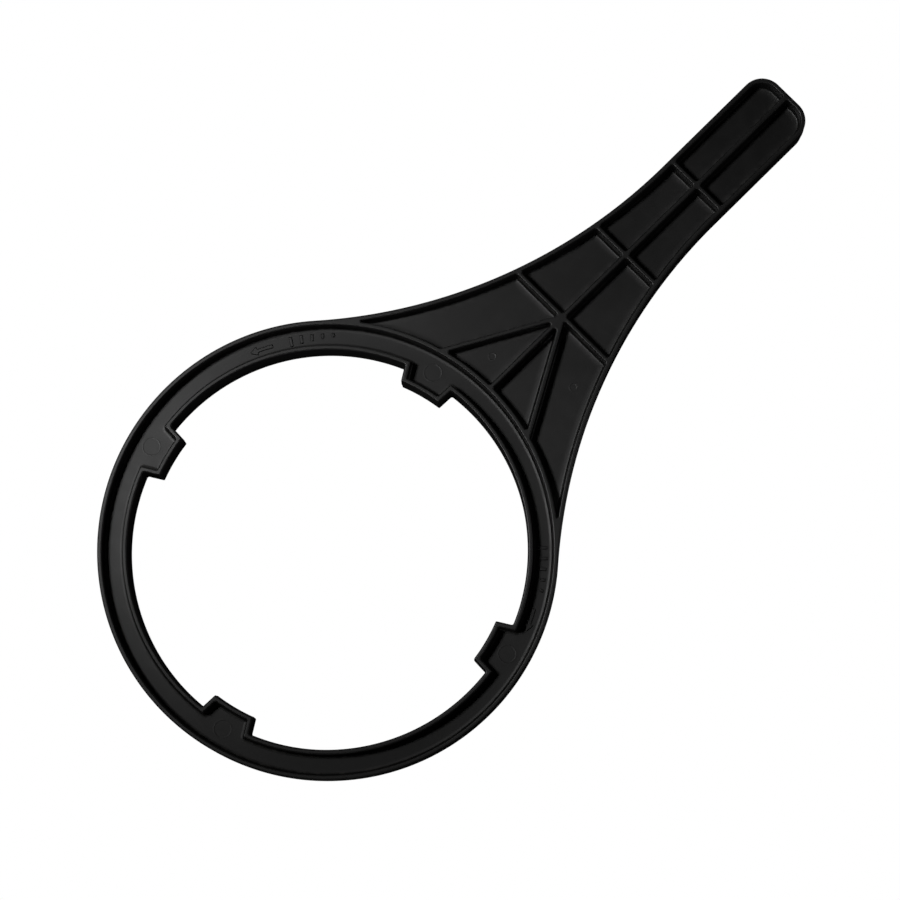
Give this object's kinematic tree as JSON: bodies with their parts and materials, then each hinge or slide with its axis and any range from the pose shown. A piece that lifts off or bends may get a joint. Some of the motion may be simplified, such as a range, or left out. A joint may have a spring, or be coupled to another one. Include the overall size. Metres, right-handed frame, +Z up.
{
  "type": "ring spanner",
  "caption": "Moulded black plastic ring spanner for water-filter bowls: lugged ring, flared ribbed handle and straight grip with a rounded end.",
  "frame": {"origin": "centre of the drive ring, on the plane of the lower rims", "axes": "+X along the handle towards the grip's end, +Z up through the ring, square to both faces"},
  "size_m": [0.4028, 0.21, 0.02],
  "materials": {
    "wall_plastic": "satin moulded black, lightly worn on the rims",
    "web_plastic": "fine-textured moulded black"
  },
  "bodies": {
    "root": {"ring_outer_wall": "wall_plastic", "drive_lug_1": "wall_plastic", "drive_lug_2": "wall_plastic", "drive_lug_3": "wall_plastic", "drive_lug_4": "wall_plastic", "bore_wall_1": "wall_plastic", "bore_wall_2": "wall_plastic", "bore_wall_3": "wall_plastic", "bore_wall_4": "wall_plastic", "side_wall_left": "wall_plastic", "side_wall_right": "wall_plastic", "grip_end_wall": "wall_plastic", "spine_rib": "wall_plastic", "cross_rib_root": "wall_plastic", "cross_rib_middle": "wall_plastic", "cross_rib_grip": "wall_plastic", "star_rib_left": "wall_plastic", "star_rib_right": "wall_plastic", "ring_web": "web_plastic", "web_root_outer_left": "web_plastic", "web_root_inner_left": "web_plastic", "web_neck_left": "web_plastic", "web_middle_left": "web_plastic", "web_grip_left": "web_plastic", "web_root_outer_right": "web_plastic", "web_root_inner_right": "web_plastic", "web_neck_right": "web_plastic", "web_middle_right": "web_plastic", "web_grip_right": "web_plastic", "tighten_mark": "web_plastic", "loosen_mark": "web_plastic"}
  },
  "joints": []
}
